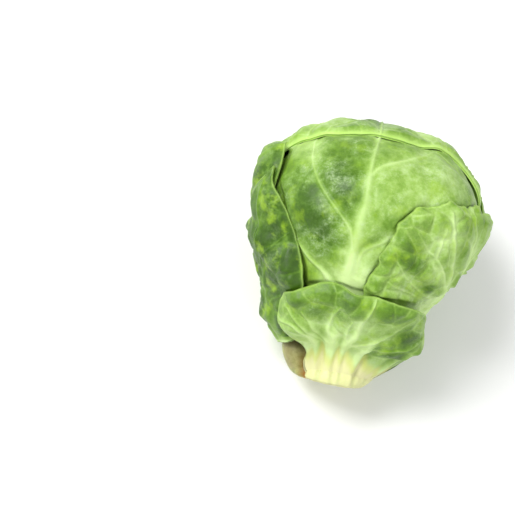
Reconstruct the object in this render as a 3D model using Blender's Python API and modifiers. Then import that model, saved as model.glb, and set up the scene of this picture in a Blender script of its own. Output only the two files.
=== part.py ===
"""A loose brussels sprout: a cut stem, a tight heart and eleven wrapped outer leaves.

The sprout is described in its own frame, with its origin at the centre of the stem's cut face and
+Z up the stem to the crown. Places on the round head are directions from its centre: a latitude,
from -90 at the stem to 90 at the crown, and a longitude, -90 at the front. An empty then lays the
whole sprout on its back, because its small cut end would not hold it upright.
Angles are degrees. Lengths are metres.
"""
from dataclasses import dataclass
from math import radians

import bmesh
import bpy
import numpy as np

MM = 0.001

# Head: a turned form, the radius at each latitude from its centre
HEAD_CENTRE = 24.7 * MM
HEAD_LATITUDES = (-90, -75, -62, -48, -30, -12, 8, 25, 45, 65, 90)
HEAD_RADII = (21.0, 20.0, 17.4, 15.4, 14.2, 14.4, 15.5, 15.7, 14.8, 14.0, 13.4)

# Leaves: shells wrapped round the head, each one lying on those below it
LEAF_THICKNESS = 0.6 * MM
LEAF_GAP = 0.25 * MM
LEAF_CELLS = 14
WIDE_LEAF_CELLS = 16
WIDE_LEAF_REACH = 60
MARGIN_WIDTH = 7.0
FLARE_START = 0.3
STEP_START = 4.0
STEP_END = 17.0

# Heart: the tight inner leaves, three of them showing as steps on its surface
HEART_SEGMENTS = 32
HEART_RINGS = 20
HEART_CLEARANCE = 0.05 * MM
HEART_STEP = 0.3 * MM
HEART_LEAF_COUNT = 3
HEART_LEAF_LATITUDE = 15
HEART_LEAF_REACH = (78, 72, 60, 52, 56, 58, 66, 74)

# Stem: the cut butt that carries the leaves, and the core that runs up into the heart
BUTT_RADIUS = 5.1 * MM
BUTT_EDGE = 0.4 * MM
STEM_LATITUDES = (-66, -69, -72, -75)
CORE_TIP = 13.5 * MM
CORE_GAP = 0.36 * MM
CORE_RIM_LATITUDE = -62
STEM_SEGMENTS = 32
SCAR_CENTRE = (-5.3 * MM, -0.6 * MM, 2.0 * MM)
SCAR_RADII = (2.3 * MM, 2.5 * MM, 1.95 * MM)

# How the sprout lies: turned about its own axis, then tipped down until its back rests on the
# low leaf behind it, with the cut face's centre at the place that puts the whole over the origin
SPIN = -14.0
TIP_UP = 26.0
CUT_FACE_PLACE = (0.04 * MM, -17.902 * MM, 6.532 * MM)
REST_SLAB = (60 * MM, 60 * MM, 10 * MM)


@dataclass
class Leaf:
    """A leaf, by its centre on the head and its reach, in degrees, at even compass angles.

    The compass starts at the tip and turns clockwise, seen from outside. Lift curls the margin
    off the leaf below, flare opens the side that faces flare_towards, and wave crimps the margin.
    """
    name: str
    latitude: float
    longitude: float
    reach: tuple
    colour: tuple
    lift: float = 0.15
    flare: float = 0.0
    flare_towards: float = 90.0
    wave: float = 0.0
    waves: int = 7


PALE_GREEN = (0.42, 0.58, 0.18)
MID_GREEN = (0.21, 0.36, 0.08)
DEEP_GREEN = (0.10, 0.20, 0.035)
CREAM = (0.80, 0.82, 0.42)

# From the innermost leaf to the outermost: the order is the order in which they overlap
LEAVES = (
    Leaf('inner_leaf', 12, 10, (40, 50, 60, 48, 44, 48, 50, 46), PALE_GREEN),
    Leaf('front_leaf', 5, -90, (76, 82, 76, 55, 46, 50, 60, 74), PALE_GREEN),
    Leaf('crown_leaf', 30, 90,
         (89, 91, 90, 97, 86, 66, 64, 70, 80, 70, 64, 66, 79, 81, 77.5, 84.5), PALE_GREEN, lift=0.25),
    Leaf('right_rear_leaf', 8, 55, (42, 46, 44, 48, 62, 50, 50, 48), MID_GREEN,
         lift=0.2, flare=0.3, flare_towards=-55),
    Leaf('left_rear_leaf', -6, 176,
         (32, 37, 47, 43, 32, 32, 36, 44, 54, 50, 44, 42, 40, 38, 34, 31), DEEP_GREEN,
         lift=0.2, flare=0.3, flare_towards=45),
    Leaf('left_low_leaf', -44, 168, (24, 34, 48, 40, 28, 30, 30, 28), MID_GREEN,
         flare=1.8, flare_towards=130),
    Leaf('back_leaf', -8, 112, (36, 42, 42, 44, 52, 46, 46, 44), MID_GREEN),
    Leaf('left_leaf', -18, -152,
         (39, 30, 27, 26, 27, 31, 36, 42, 51, 44, 37, 32, 30, 27, 24, 28), DEEP_GREEN,
         lift=0.2, flare=0.2, flare_towards=-90),
    Leaf('frilled_leaf', -10, -28,
         (30, 31, 31, 26, 21, 22, 29, 41, 56, 55, 52, 50, 45, 43, 38, 31), MID_GREEN,
         lift=0.2, flare=0.4, flare_towards=70, wave=0.4, waves=5),
    Leaf('back_low_leaf', -38, 75, (32, 38, 42, 40, 34, 38, 42, 36), MID_GREEN),
    Leaf('collar_leaf', -58, -85,
         (23, 25, 28.5, 34, 38, 41, 33, 20, 18, 20, 26, 33, 32, 30, 28, 26), MID_GREEN,
         lift=0.2, flare=2.4, flare_towards=125),
)


def smooth(x):
    """Ramp from 0 to 1 with level ends."""
    x = np.clip(x, 0, 1)
    return x * x * (3 - 2 * x)


def smooth_through(x, places, values):
    """Smooth curve through the values at the places, level at both ends."""
    places = np.asarray(places, float)
    values = np.asarray(values, float)
    slope = np.gradient(values, places)
    slope[[0, -1]] = 0
    i = np.clip(np.searchsorted(places, x) - 1, 0, len(places) - 2)
    width = places[i + 1] - places[i]
    t = (x - places[i]) / width
    rise = smooth(t) * (values[i + 1] - values[i])
    return values[i] + rise + width * t * (1 - t) * ((1 - t) * slope[i] - t * slope[i + 1])


def round_the_compass(angle, values):
    """Smooth closed curve through values that stand at even angles round the compass."""
    values = np.asarray(values, float)
    count = len(values)
    t = (angle % 360) * count / 360
    i = np.floor(t).astype(int) % count
    t = t - np.floor(t)
    before, here, after, beyond = (values[(i + k) % count] for k in (-1, 0, 1, 2))
    bend = 2 * before - 5 * here + 4 * after - beyond
    twist = 3 * (here - after) + beyond - before
    return here + 0.5 * t * (after - before + t * (bend + t * twist))


def direction(latitude, longitude):
    """Unit vector from the head's centre."""
    lat = np.radians(latitude)
    lon = np.radians(longitude)
    return np.stack([np.cos(lat) * np.cos(lon), np.cos(lat) * np.sin(lon), np.sin(lat) + 0 * lon], -1)


def head_radius(latitude):
    """Radius of the turned head at a latitude."""
    latitude = np.clip(latitude, HEAD_LATITUDES[0], HEAD_LATITUDES[-1])
    return smooth_through(latitude, HEAD_LATITUDES, HEAD_RADII) * MM


def head_surface(way):
    """Point of the head and its outward normal in each direction."""
    latitude = np.degrees(np.arcsin(np.clip(way[..., 2], -1, 1)))
    lon = np.arctan2(way[..., 1], way[..., 0])
    lat = np.radians(latitude)
    radius = head_radius(latitude)
    step = 0.5
    change = (head_radius(latitude + step) - head_radius(latitude - step)) / np.radians(2 * step)
    outwards = change * np.cos(lat) - radius * np.sin(lat)
    upwards = change * np.sin(lat) + radius * np.cos(lat)
    length = np.hypot(outwards, upwards)
    level = upwards / length
    normal = np.stack([level * np.cos(lon), level * np.sin(lon), -outwards / length], -1)
    return radius[..., None] * way + np.array([0, 0, HEAD_CENTRE]), normal


def leaf_axes(leaf):
    """Centre of a leaf, and the ways to its tip and to its right, as unit vectors."""
    centre = direction(leaf.latitude, leaf.longitude)
    lon = np.radians(leaf.longitude)
    right = np.array([-np.sin(lon), np.cos(lon), 0])
    return centre, np.cross(centre, right), right


def to_leaf(leaf, way):
    """Distance from the leaf's centre and compass angle from its tip, of directions."""
    centre, tip, right = leaf_axes(leaf)
    distance = np.degrees(np.arccos(np.clip(way @ centre, -1, 1)))
    return distance, np.degrees(np.arctan2(way @ right, way @ tip))


def from_leaf(leaf, distance, angle):
    """Directions at a distance and compass angle from the leaf's centre."""
    centre, tip, right = leaf_axes(leaf)
    away = np.radians(distance)[..., None]
    turn = np.radians(angle)[..., None]
    return np.cos(away) * centre + np.sin(away) * (np.cos(turn) * tip + np.sin(turn) * right)


def relief(leaf, distance, angle):
    """Height of a leaf over what it lies on: its lifted margin, its open side and its crimps."""
    edge = round_the_compass(angle, leaf.reach)
    share = np.clip(distance / edge, 0, 1)
    inside = np.clip(edge - distance, 0, None)
    side = smooth(np.cos(np.radians(angle - leaf.flare_towards)))
    height = leaf.lift * smooth(1 - inside / MARGIN_WIDTH)
    height = height + leaf.flare * side * smooth((share - FLARE_START) / (1 - FLARE_START))
    crimp = 0.5 + 0.5 * np.sin(leaf.waves * np.radians(angle))
    return (height + leaf.wave * share ** 3 * crimp) * MM


def cover(leaf, distance, angle):
    """1 over a leaf, easing to 0 beyond its margin."""
    beyond = distance - round_the_compass(angle, leaf.reach)
    return smooth((STEP_END - beyond) / (STEP_END - STEP_START))


def stack_height(leaf, way):
    """Height over the head on which a leaf lies: all the leaves below it."""
    height = np.full(way.shape[:-1], LEAF_GAP)
    for lower in LEAVES[:LEAVES.index(leaf)]:
        distance, angle = to_leaf(lower, way)
        pitch = LEAF_THICKNESS + LEAF_GAP + relief(lower, distance, angle)
        height = height + cover(lower, distance, angle) * pitch
    return height


def leaf_points(leaf, x, y, depth):
    """Points of a leaf from places on a unit disc, tip at +X, and a height in its thickness."""
    angle = np.degrees(np.arctan2(y, x))
    distance = np.hypot(x, y) * round_the_compass(angle, leaf.reach)
    way = from_leaf(leaf, distance, angle)
    point, normal = head_surface(way)
    height = stack_height(leaf, way) + relief(leaf, distance, angle) + depth
    return point + normal * height[..., None]


def coordinates(mesh):
    """Vertex coordinates of a mesh as an array of rows."""
    flat = np.empty(len(mesh.vertices) * 3, np.float32)
    mesh.vertices.foreach_get('co', flat)
    return flat.reshape(-1, 3).astype(float)


def material(name, colour, roughness):
    """Plain leaf or stem finish."""
    finish = bpy.data.materials.new(name)
    finish.use_nodes = True
    shader = finish.node_tree.nodes['Principled BSDF']
    shader.inputs['Base Color'].default_value = (*colour, 1)
    shader.inputs['Roughness'].default_value = roughness
    shader.inputs['Metallic'].default_value = 0
    return finish


def add_part(name, mesh, colour, roughness, collection, parent):
    """Named object with its own finish, carried by the empty that lays the sprout down."""
    part = bpy.data.objects.new(name, mesh)
    mesh.name = name
    mesh.materials.clear()
    mesh.materials.append(material(name, colour, roughness))
    mesh.shade_smooth()
    mesh.set_sharp_from_angle(angle=radians(50))
    collection.objects.link(part)
    part.parent = parent
    return part


def applied(mesh, collection, modifiers):
    """Mesh with modifiers applied, given as type and settings."""
    holder = bpy.data.objects.new('holder', mesh)
    collection.objects.link(holder)
    for kind, settings in modifiers:
        modifier = holder.modifiers.new(kind.title(), kind)
        for setting, value in settings.items():
            setattr(modifier, setting, value)
    bpy.context.view_layer.update()
    depsgraph = bpy.context.evaluated_depsgraph_get()
    result = bpy.data.meshes.new_from_object(holder.evaluated_get(depsgraph))
    bpy.data.objects.remove(holder)
    return result


def leaf_slab(cells, collection):
    """Flat round slab, one unit thick, whose two faces are split into triangles alike."""
    sheet = bmesh.new()
    bmesh.ops.create_grid(sheet, x_segments=cells, y_segments=cells, size=1)
    for vertex in sheet.verts:
        u, v, _ = vertex.co
        vertex.co.x = u * (1 - v * v / 2) ** 0.5
        vertex.co.y = v * (1 - u * u / 2) ** 0.5
    bmesh.ops.triangulate(sheet, faces=sheet.faces, quad_method='BEAUTY')
    mesh = bpy.data.meshes.new('slab')
    sheet.to_mesh(mesh)
    sheet.free()
    return applied(mesh, collection, [('SOLIDIFY', {'thickness': 1, 'offset': 1})])


def make_leaf(leaf, collection, parent):
    """One leaf: a slab wrapped over the leaves below."""
    cells = WIDE_LEAF_CELLS if max(leaf.reach) > WIDE_LEAF_REACH else LEAF_CELLS
    mesh = leaf_slab(cells, collection)
    x, y, depth = coordinates(mesh).T
    points = leaf_points(leaf, x, y, depth * LEAF_THICKNESS)
    mesh.vertices.foreach_set('co', points.astype(np.float32).ravel())
    mesh.flip_normals()
    mesh.update()
    return add_part(leaf.name, mesh, leaf.colour, 0.45, collection, parent)


def heart_relief(way):
    """Steps of the heart's own leaves, from the deepest level up to 0."""
    height = np.full(way.shape[:-1], -HEART_LEAF_COUNT * HEART_STEP)
    for turn in range(HEART_LEAF_COUNT):
        leaf = Leaf('heart', HEART_LEAF_LATITUDE, turn * 360 / HEART_LEAF_COUNT, HEART_LEAF_REACH, ())
        height = height + HEART_STEP * cover(leaf, *to_leaf(leaf, way))
    return height


def make_heart(collection, parent):
    """Heart: a ball moved to the head's form, hollowed below where the stem's core enters."""
    ball = bmesh.new()
    bmesh.ops.create_uvsphere(ball, u_segments=HEART_SEGMENTS, v_segments=HEART_RINGS, radius=1)
    mesh = bpy.data.meshes.new('heart')
    ball.to_mesh(mesh)
    ball.free()
    way = coordinates(mesh)
    latitude = np.degrees(np.arcsin(np.clip(way[:, 2], -1, 1)))
    radius = head_radius(latitude) - HEART_CLEARANCE + heart_relief(way)
    rim = head_radius(CORE_RIM_LATITUDE)
    rim_out = rim * np.cos(radians(CORE_RIM_LATITUDE))
    rim_height = HEAD_CENTRE + rim * np.sin(radians(CORE_RIM_LATITUDE))
    tip = CORE_TIP + CORE_GAP
    slope = (tip - rim_height) / rim_out
    sink = np.maximum(-way[:, 2] - slope * np.hypot(way[:, 0], way[:, 1]), 0.1)
    radius = np.minimum(radius, (HEAD_CENTRE - tip) / sink)
    points = way * radius[:, None] + np.array([0, 0, HEAD_CENTRE])
    mesh.vertices.foreach_set('co', points.astype(np.float32).ravel())
    mesh.update()
    return add_part('heart', mesh, PALE_GREEN, 0.5, collection, parent)


def stem_profile():
    """Stem's outline from the core's tip down its outer side to the cut face, as (radius, height)."""
    outline = [(0, CORE_TIP)]
    for latitude in STEM_LATITUDES:
        radius = float(head_radius(latitude)) - HEART_CLEARANCE
        lat = radians(latitude)
        outline.append((radius * np.cos(lat), HEAD_CENTRE + radius * np.sin(lat)))
    outline.append((BUTT_RADIUS, BUTT_EDGE))
    outline.append((BUTT_RADIUS - BUTT_EDGE, 0))
    outline.append((0, 0))
    return outline


def make_stem(collection, cutters, parent):
    """Stem: a turned body joined with the round scar of a leaf that was cut away."""
    outline = bpy.data.meshes.new('outline')
    rows = [(radius, 0, height) for radius, height in stem_profile()]
    outline.from_pydata(rows, [(i, i + 1) for i in range(len(rows) - 1)], [])
    ball = bmesh.new()
    bmesh.ops.create_uvsphere(ball, u_segments=16, v_segments=8, radius=1)
    bmesh.ops.scale(ball, vec=SCAR_RADII, verts=ball.verts)
    bmesh.ops.translate(ball, vec=SCAR_CENTRE, verts=ball.verts)
    scar_mesh = bpy.data.meshes.new('scar')
    ball.to_mesh(scar_mesh)
    ball.free()
    scar = bpy.data.objects.new('scar', scar_mesh)
    cutters.objects.link(scar)
    screw = {'steps': STEM_SEGMENTS, 'render_steps': STEM_SEGMENTS, 'use_merge_vertices': True,
             'merge_threshold': 0.00001}
    mesh = applied(outline, collection, [
        ('SCREW', screw),
        ('BOOLEAN', {'operation': 'UNION', 'object': scar}),
    ])
    bpy.data.objects.remove(scar)
    return add_part('stem', mesh, CREAM, 0.5, collection, parent)


def make_rest_slab(cutters):
    """Slab whose top is the resting surface, for the small flats that the sprout lies on."""
    mesh = bpy.data.meshes.new('rest_slab')
    box = bmesh.new()
    bmesh.ops.create_cube(box, size=1)
    bmesh.ops.scale(box, vec=REST_SLAB, verts=box.verts)
    box.to_mesh(mesh)
    box.free()
    slab = bpy.data.objects.new('rest_slab', mesh)
    slab.location.z = -REST_SLAB[2] / 2
    slab.display_type = 'WIRE'
    slab.hide_render = True
    cutters.objects.link(slab)
    return slab


def cut_flats(parts, slab):
    """Cut each part that the resting surface touches."""
    bpy.context.view_layer.update()
    for part in parts:
        lowest = min((part.matrix_world @ vertex.co).z for vertex in part.data.vertices)
        if lowest < 0:
            cut = part.modifiers.new('Rest flat', 'BOOLEAN')
            cut.object = slab
            cut.operation = 'DIFFERENCE'


def main():
    for old in list(bpy.data.objects):
        bpy.data.objects.remove(old)
    sprout = bpy.data.collections.new('brussels_sprout')
    cutters = bpy.data.collections.new('cutters')
    bpy.context.scene.collection.children.link(sprout)
    bpy.context.scene.collection.children.link(cutters)
    lay = bpy.data.objects.new('lay', None)
    lay.rotation_mode = 'XYZ'
    lay.rotation_euler = (radians(TIP_UP - 90), 0, 0)
    lay.location = CUT_FACE_PLACE
    sprout.objects.link(lay)
    spin = bpy.data.objects.new('spin', None)
    spin.parent = lay
    spin.rotation_euler.z = radians(SPIN)
    sprout.objects.link(spin)
    parts = [make_stem(sprout, cutters, spin), make_heart(sprout, spin)]
    parts += [make_leaf(leaf, sprout, spin) for leaf in LEAVES]
    cut_flats(parts, make_rest_slab(cutters))


main()
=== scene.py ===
"""Looks of a loose brussels sprout that lies on its back: leaves, cut stem, floor, light and camera.

The sprout is described upright, in its own frame: its origin at the centre of the stem's cut face,
+Z up the stem to the crown, and its front at longitude -90. lay_down then turns it to where it lies.
Places on the round head are directions from its centre. A place on a leaf is a distance from the
leaf's centre, in degrees round the head, and a compass angle that starts at the leaf's tip.
Angles are degrees. Lengths are millimetres until lay_down makes them metres.
"""
from dataclasses import dataclass
from math import cos, radians, sin

import bmesh
import bpy
import numpy as np
from mathutils import Matrix, Vector


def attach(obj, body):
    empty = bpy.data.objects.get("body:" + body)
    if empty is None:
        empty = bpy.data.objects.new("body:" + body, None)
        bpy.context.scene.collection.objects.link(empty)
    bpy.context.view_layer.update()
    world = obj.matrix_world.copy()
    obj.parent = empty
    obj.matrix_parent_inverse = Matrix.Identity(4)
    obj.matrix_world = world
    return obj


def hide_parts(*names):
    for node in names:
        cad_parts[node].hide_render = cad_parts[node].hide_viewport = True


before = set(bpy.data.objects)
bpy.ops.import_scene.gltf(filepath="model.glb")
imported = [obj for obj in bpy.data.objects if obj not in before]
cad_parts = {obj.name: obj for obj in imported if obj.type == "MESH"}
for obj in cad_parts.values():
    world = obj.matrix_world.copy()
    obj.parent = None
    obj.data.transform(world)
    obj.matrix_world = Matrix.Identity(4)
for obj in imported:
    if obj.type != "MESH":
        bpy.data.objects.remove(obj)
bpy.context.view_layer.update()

MM = 0.001

# Head: a turned form, the radius at each latitude from its centre
HEAD_CENTRE = 24.7
HEAD_LATITUDES = (-90, -75, -62, -48, -30, -12, 8, 25, 45, 65, 90)
HEAD_RADII = (21.0, 20.0, 17.4, 15.4, 14.2, 14.4, 15.5, 15.7, 14.8, 14.0, 13.4)

# Foot: below the head the leaves run down the stem's side, to these radii and heights
FOOT_LATITUDES = (-90, -84, -78, -72, -66)
FOOT_RADII = (5.15, 5.2, 5.4, 6.1, 7.4)
FOOT_HEIGHTS = (0.5, 2.5, 4.4, 6.2, 8.1)
FOOT_BLEND = (-68, -75)
FOOT_SINK = (-60, -75)
FOOT_SHARE = 0.05

# Ribs that run from the stem into the leaves: waves, by their count round the axis, height and phase
RIB_WAVES = ((11, 0.15, 0.7), (19, 0.18, 2.1), (31, 0.10, 0.4))
RIB_START = (-58, -70)
RIB_END = (-83, -89)
RIB_FADE = 0.6

# Haunches: on two sides the leaves stand out from the stem's cut end in a skirt
HAUNCH_LATITUDES = (-90, -84, -78, -72, -66, -58, -46)
HAUNCH_OUT = (0, 2.2, 4.1, 4.9, 2.8, 1.2, 0)
HAUNCH_TURNS = ((2.0, 1.0), (184.0, 0.8))
HAUNCH_WIDTH = 48.0

# Leaves: shells wrapped round the head, each one lying on those below it
LEAF_THICKNESS = 0.6
MARGIN_THICKNESS = 0.14
THICKENING_WIDTH = 6.0
FOOT_THINNESS = 0.1
STEP_THINNESS = 0.08
LEAF_GAP = 0.25
MARGIN_WIDTH = 7.0
FLARE_START = 0.3
STEP_START = 4.0
STEP_END = 17.0
PRESS_EDGE = (2.0, -1.5)
MARGIN_ROUNDING = 0.2
EDGE_CROWDING = 0.22
NICK_WAVES = (11, 17, 26, 41)
NICK_DEPTH = 1.2
CRIMPED_NICK_DEPTH = 20.0

# Veins: how they taper and fade along their line, and what stands beside them
VEIN_POINTS = 26
VEIN_TAPER = 0.7
VEIN_FADE = 0.45
GROOVE_PLACE = 2.3
GROOVE_WIDTH = 0.7
GROOVE_DEPTH = 0.16
CORE_SHARPNESS = 1.3
HALO_START = 0.8
HALO_GROWTH = 1.2
HALO_WIDTH = 3.2
NEAR_WIDTH = 4.5

# Blade: spans in degrees on the leaf, heights in millimetres
BLADE_START = 5.0
PILLOW_EDGE = 0.42
PILLOW_LEVEL = 0.35
BLISTER_FADE = 0.8
BLISTER_FADE_SPAN = 15.0
MARGIN_BLISTERS = 0.25
VEIN_CALM = 0.7
LIP_PLACE = 0.45
LIP_SPREAD = 0.55
UNEVEN_SIZE = 26.0
UNEVEN_HEIGHT = 0.16
DEEPEST_DIP = -0.1
RAISED_WIDTH = 6.5
RIDGE_START = (-0.5, 3.0)
NET_EDGE = (0.02, 0.12)
CLOUD_SIZE = 14.0
CLOUD_PALE = 0.09
RAGGED_SIZE = 9.0
RAGGED_SHARE = 0.2

# Leaf colouring: how much each field adds to the tone, and the latitudes where the foot turns
WASH_TONE = 0.6
HALO_TONE = 0.32
CORE_TONE = 0.24
BLISTER_TONE = 0.22
FOOT_TONE = 0.15
RIB_TONE = 0.8
PALE_FOOT = (-60, -76)
CREAM_FOOT = (-72, -82)
HAUNCH_RISE = 2.0
RIB_RISE = 12

# How the sprout lies
SPIN = -14.0
TIP_UP = 26.0
CUT_FACE_PLACE = (0.04, -17.902, 6.532)

# Camera: above the front leaf, a little towards the crown, rolled so that the crown leans right
PICTURE_SIZE = 515
PICTURE_SCALE = 6.6
AXIS_PIXEL = (328.0, 381.5)
CAMERA_PITCH = 5.0
CAMERA_ROLL = 12.0
LENS = 150.0
SENSOR = 36.0
NEAREST_SEEN = 0.01

# Studio, in metres and watts: each soft light's offset from the head (right, top, back), size, power
FLOOR_HALF = 3.0
PAPER_WHITE = (0.92, 0.92, 0.92)
ROUND_LIGHT = 0.58
LIGHTS = {
    'key': ((-0.16, 0.26, 0.42), 0.22, 2.6),
    'fill': ((0.34, -0.16, 0.30), 0.45, 0.7),
}

# Leaf colours, linear, from a tone of 0 for the deepest green to 1 for a rib
TONES = (
    (0.0, (0.030, 0.080, 0.003)),
    (0.2, (0.054, 0.135, 0.004)),
    (0.42, (0.14, 0.28, 0.022)),
    (0.62, (0.28, 0.46, 0.085)),
    (0.8, (0.44, 0.64, 0.20)),
    (1.0, (0.60, 0.80, 0.32)),
)
PALE_GREEN = (0.47, 0.67, 0.20)
LIME = (0.34, 0.56, 0.015)
LIP_GREEN = (0.52, 0.80, 0.18)
CREAM = (0.74, 0.74, 0.36)
VALLEY_CREAM = (0.52, 0.57, 0.24)
YELLOW = (0.60, 0.64, 0.12)
BLOOM = (0.52, 0.66, 0.40)

# Stem and heart colours, linear
STEM_CLOUD = (0.70, 0.72, 0.32)
STEM_GRAIN = (0.88, 0.86, 0.56)
SCAR_OLIVE = (0.21, 0.25, 0.06)
SCAR_PALE = (0.42, 0.44, 0.16)
SCAR_ROSE = (0.25, 0.19, 0.09)
CLEFT_BROWN = (0.30, 0.14, 0.02)
WOOD_RING = (0.56, 0.54, 0.24)
HEART_YELLOW = (0.70, 0.80, 0.32)


@dataclass
class Vein:
    """A vein: places (towards the tip, to the right) in degrees from the leaf's centre, root first.

    Width is its half width at the root and at the end, in degrees, height is its ridge in
    millimetres, and pale is how light it and the blade beside it are.
    """
    places: tuple
    width: tuple
    height: float
    pale: float


@dataclass
class Wash:
    """A soft patch on a leaf: its middle (towards the tip, to the right) and size in degrees.

    Pale is how much lighter it is, or darker where it is below 0. Most patches are the leaf's own mottling;
    a few are painted highlights or painted shadow, as marked where they are listed.
    """
    place: tuple
    size: float
    pale: float


@dataclass
class Leaf:
    """A leaf, by its centre on the head and its reach, in degrees, at even compass angles.

    Tone is its green, from 0 for the deepest to 1 for the palest. Corner is a sharp corner in its
    outline: compass angle, how far it stands out, and its width. Lift curls the margin off the leaf
    below, flare opens the side that faces flare_towards, wave is the height of the margin's crimps
    and waves their number, foot lengthens the base down the stem, and billow swells the blade
    between its veins. Blister and cell are the height and size of its blisters, which fade out
    towards the tip past blister_from. Lip is the height of a rolled margin, lip_width its width in
    degrees, and raised is how far the margin stands off, or presses down where it is below 0. Pairs
    is how many side veins it has where none are given, and cells how many faces its grid has each
    way. Net is how much lighter its finest veins are, and cream how far its foot turns to cream.
    """
    name: str
    latitude: float
    longitude: float
    reach: tuple
    finish: str
    tone: float = 0.4
    corner: tuple = (0.0, 0.0, 10.0)
    lift: float = 0.15
    flare: float = 0.0
    flare_towards: float = 90.0
    wave: float = 0.0
    waves: int = 7
    foot: float = 0.0
    billow: float = 0.35
    blister: float = 0.15
    blister_from: float = 90.0
    cell: float = 13.0
    lip: float = 0.0
    lip_width: float = 0.7
    raised: float = -0.15
    pairs: int = 5
    cells: int = 150
    net: float = 0.3
    cream: float = 1.0
    veins: tuple = ()
    washes: tuple = ()


FRONT_VEINS = (
    Vein(((-72, 0), (-44, 0), (-24, -1), (-4, -1), (12, 0), (29, -1), (55, 0), (76, 1)),
         (5.2, 0.4), 0.5, 1.0),
    Vein(((-14, -2), (-4, -5), (6, -16), (16, -26), (30, -35), (46, -41), (58, -42)),
         (1.2, 0.5), 0.32, 0.85),
    Vein(((-60, -4), (-44, -9), (-34, -16), (-28, -24), (-20, -33), (-14, -42)), (2.4, 0.8), 0.34, 0.95),
    Vein(((24, 0), (29, 3), (33, 8), (39, 17), (47, 29), (55, 39)), (1.1, 0.7), 0.26, 0.8),
    Vein(((-30, 1), (-15, 4), (-8, 12), (-2, 20), (6, 30), (16, 42)), (1.6, 0.6), 0.22, 0.7),
    Vein(((55, 39), (48, 48), (41, 57)), (0.7, 0.4), 0.12, 0.5),
    Vein(((46, -41), (56, -38), (66, -30)), (0.7, 0.4), 0.12, 0.5),
    Vein(((50, 0), (58, 10), (62, 22)), (0.7, 0.4), 0.12, 0.45),
    Vein(((8, 30), (22, 38), (34, 50)), (0.7, 0.4), 0.12, 0.45),
)

FRILLED_VEINS = (
    Vein(((-56, 16), (-40, 13), (-27, 9), (-17, 3), (-8, -2), (1, -5), (14, -13), (26, -18)),
         (3.4, 0.8), 0.4, 1.0),
    Vein(((-32, 8), (-24, 3), (-19, -12), (-12, -27), (-6, -35), (-1, -41)), (1.1, 0.5), 0.24, 0.75),
    Vein(((-10, -2), (0, -12), (6, -20), (8, -25), (15, -34)), (0.9, 0.5), 0.22, 0.7),
    Vein(((5, -19), (13, -20), (19, -20)), (0.8, 0.5), 0.18, 0.7),
    Vein(((-30, 11), (-17, 17), (-2, 12), (5, 11), (16, 6), (23, 1), (29, 2)), (1.3, 0.5), 0.24, 0.75),
    Vein(((-4, 12), (5, 13), (12, 17), (18, 19)), (0.9, 0.5), 0.2, 0.6),
    Vein(((-34, 6), (-25, -4), (-22, -15), (-19, -30), (-17, -37)), (0.8, 0.4), 0.2, 0.6),
    Vein(((-36, 13), (-22, 24), (-6, 27), (6, 27)), (1.1, 0.4), 0.2, 0.6),
)

COLLAR_VEINS = (
    Vein(((-26, 0), (-14, 1), (-9, 3), (-3, 5), (6, 6), (16, 9), (22, 11)), (2.2, 0.5), 0.5, 1.0),
    Vein(((-26, -1), (-15, -1), (-9, -3), (-4, -7), (5, -7), (12, -5)), (1.9, 0.7), 0.5, 1.0),
    Vein(((-26, -2), (-15, -3), (-10, -8), (-2, -14), (3, -19)), (1.4, 0.5), 0.45, 0.95),
    Vein(((-25, -4), (-15, -6), (-10, -10), (-5, -15), (-2, -21), (0, -27)), (1.3, 0.5), 0.4, 0.9),
    Vein(((-25, 3), (-12, 4), (-7, 13), (-1, 22), (9, 29)), (1.3, 0.5), 0.42, 0.95),
    Vein(((-24, 5), (-14, 9), (-14, 20), (-12, 33)), (1.2, 0.5), 0.42, 0.9),
    Vein(((-22, -9), (-13, -10), (-7, -16), (-7, -21), (-13, -27), (-9, -33)), (0.8, 0.6), 0.4, 0.9),
    Vein(((-24, 2), (-10, 2), (-2, 1), (5, 2)), (1.1, 0.4), 0.36, 0.8),
)

LEFT_VEINS = (
    Vein(((-58, -3), (-34, -2), (-17, 0), (4, 5), (23, 5), (36, 7)), (2.4, 0.6), 0.3, 0.42),
    Vein(((-22, 0), (-10, 4), (2, 15), (8, 22)), (0.9, 0.4), 0.2, 0.35),
    Vein(((0, 4), (8, 3), (18, 9), (24, 16)), (0.8, 0.4), 0.2, 0.35),
    Vein(((-40, -2), (-33, 3), (-29, 14), (-24, 24)), (0.9, 0.4), 0.24, 0.4),
    Vein(((-30, -2), (-16, -14), (-2, -22)), (0.9, 0.4), 0.2, 0.35),
    Vein(((-6, 2), (10, -9), (22, -16)), (0.8, 0.4), 0.18, 0.35),
    Vein(((-42, -2), (-36, -14), (-26, -24)), (0.8, 0.4), 0.18, 0.35),
)

FRONT_WASHES = (
    Wash((2, -26), 22, -0.5), Wash((-13, -18), 10, -0.25), Wash((16, -13), 13, -0.3),
    # Wash((40, -50), 13, 0.45), on the upper left, is partly the whitish waxy bloom and partly a painted
    # highlight, the sheen of the light from the upper left
    Wash((40, -12), 15, -0.22), Wash((40, -50), 13, 0.45), Wash((22, 24), 18, 0.3),
    Wash((2, 15), 8, -0.1), Wash((38, 42), 11, 0.15), Wash((-34, 4), 17, 0.5),
    Wash((6, 46), 12, 0.3), Wash((62, 0), 8, 0.15),
)
CROWN_WASHES = (
    Wash((66, 8), 14, -0.5), Wash((56, -30), 14, 0.3), Wash((60, 42), 12, 0.3), Wash((40, -50), 12, -0.15),
)
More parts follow.
